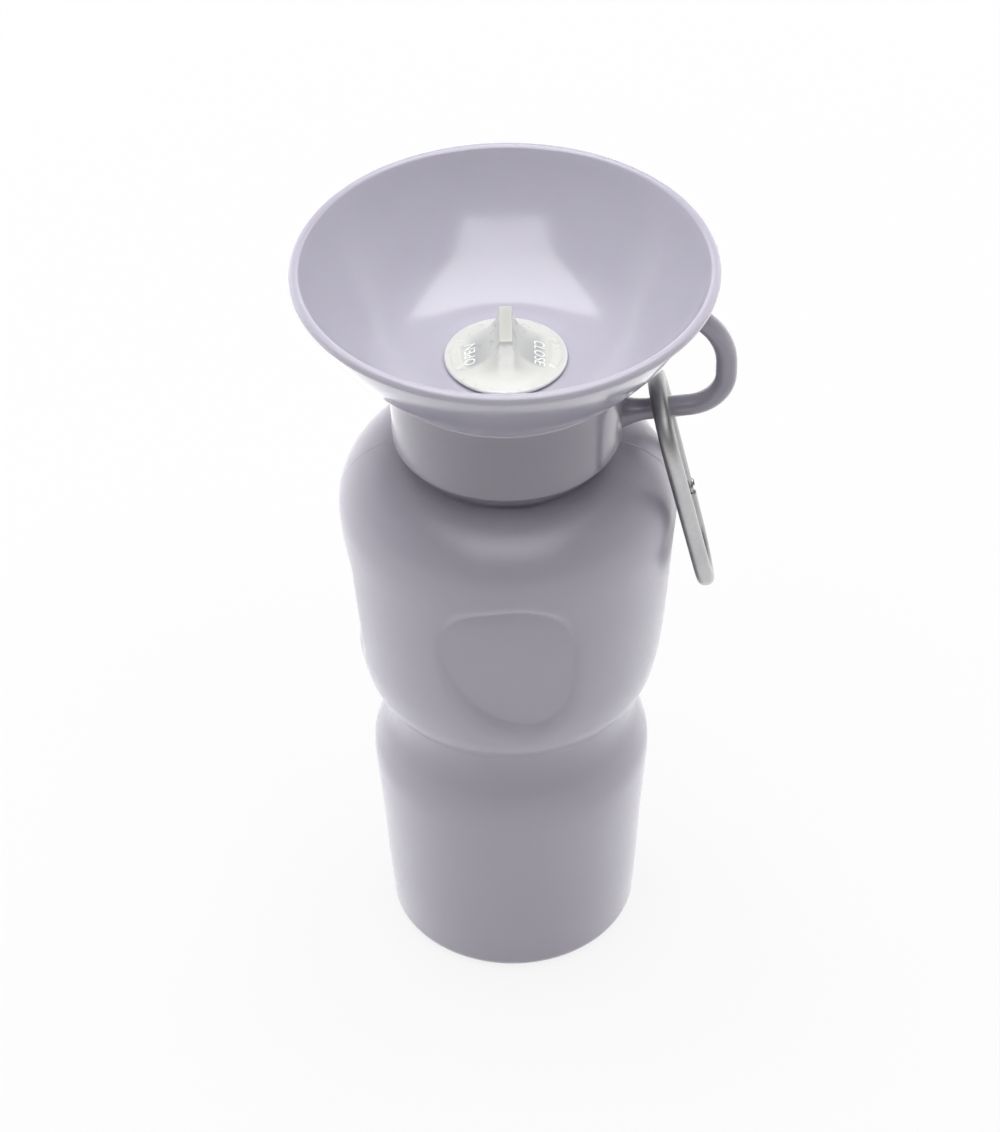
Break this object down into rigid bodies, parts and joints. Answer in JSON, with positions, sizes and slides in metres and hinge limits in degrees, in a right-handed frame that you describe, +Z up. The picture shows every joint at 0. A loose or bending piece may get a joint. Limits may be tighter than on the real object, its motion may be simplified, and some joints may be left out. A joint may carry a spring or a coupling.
{
  "type": "squeeze bottle with drinking bowl",
  "caption": "Plastic squeeze bottle with a waist and grip dents, a screw-on lid that carries a wide drinking bowl with a quarter-turn valve, a dip tube, a carry loop and a carabiner.",
  "frame": {"origin": "centre of the ring that the bottle stands on, in the plane of that ring", "axes": "+Z up along the bottle's axis, +X towards the carry loop, -Y towards the front with the thumb dent"},
  "size_m": [0.1378, 0.132, 0.266],
  "materials": {
    "shell": "satin, fine texture",
    "collar": "gloss",
    "bowl": "gloss",
    "clear": "milky, translucent",
    "seal": "soft silicone",
    "clip_metal": "satin, grey anodised",
    "steel": "brushed"
  },
  "bodies": {
    "bottle": {"bottle": "shell"},
    "gasket": {"neck_gasket": "seal"},
    "lid": {"collar": "collar", "carry_loop": "collar", "drinking_bowl": "bowl", "bowl_seal": "seal", "valve_sleeve": "clear", "sleeve_nut": "clear", "sleeve_seal": "seal", "tube_adapter": "clear", "dip_tube": "clear"},
    "knob": {"valve_knob": "clear", "upper_o_ring": "seal", "lower_o_ring": "seal", "retainer_clip": "steel"},
    "carabiner": {"carabiner_body": "clip_metal", "gate_rivet": "steel"},
    "gate": {"carabiner_gate": "clip_metal", "gate_spring": "steel", "gate_plunger": "steel"}
  },
  "joints": [
    {"name": "lid_lift", "type": "slide", "parent": "bottle", "child": "gasket", "axis": [0, 0, 1], "range_m": [0, 0.0075]},
    {"name": "lid_turn", "type": "hinge", "parent": "gasket", "child": "lid", "pos_m": [0, 0, 0.2247], "axis": [0, 0, 1], "range_deg": [0, 540]},
    {"name": "valve_turn", "type": "hinge", "parent": "lid", "child": "knob", "pos_m": [0, 0, 0.2305], "axis": [0, 0, 1], "range_deg": [0, 90]},
    {"name": "carabiner_swing", "type": "hinge", "parent": "lid", "child": "carabiner", "pos_m": [0.04705, 0, 0.21703], "axis": [0, -1, 0], "range_deg": [0, 60]},
    {"name": "gate_open", "type": "hinge", "parent": "carabiner", "child": "gate", "pos_m": [0.05733, 0.0119, 0.16802], "axis": [0.9747, 0.0523, 0.2172], "range_deg": [0, 20], "stiffness_Nm_per_rad": 0.15, "springref_deg": -20.05}
  ],
  "couplings": [
    {"joint": "lid_lift", "follows": "lid_turn", "m_per_rad": 0.00079577}
  ]
}
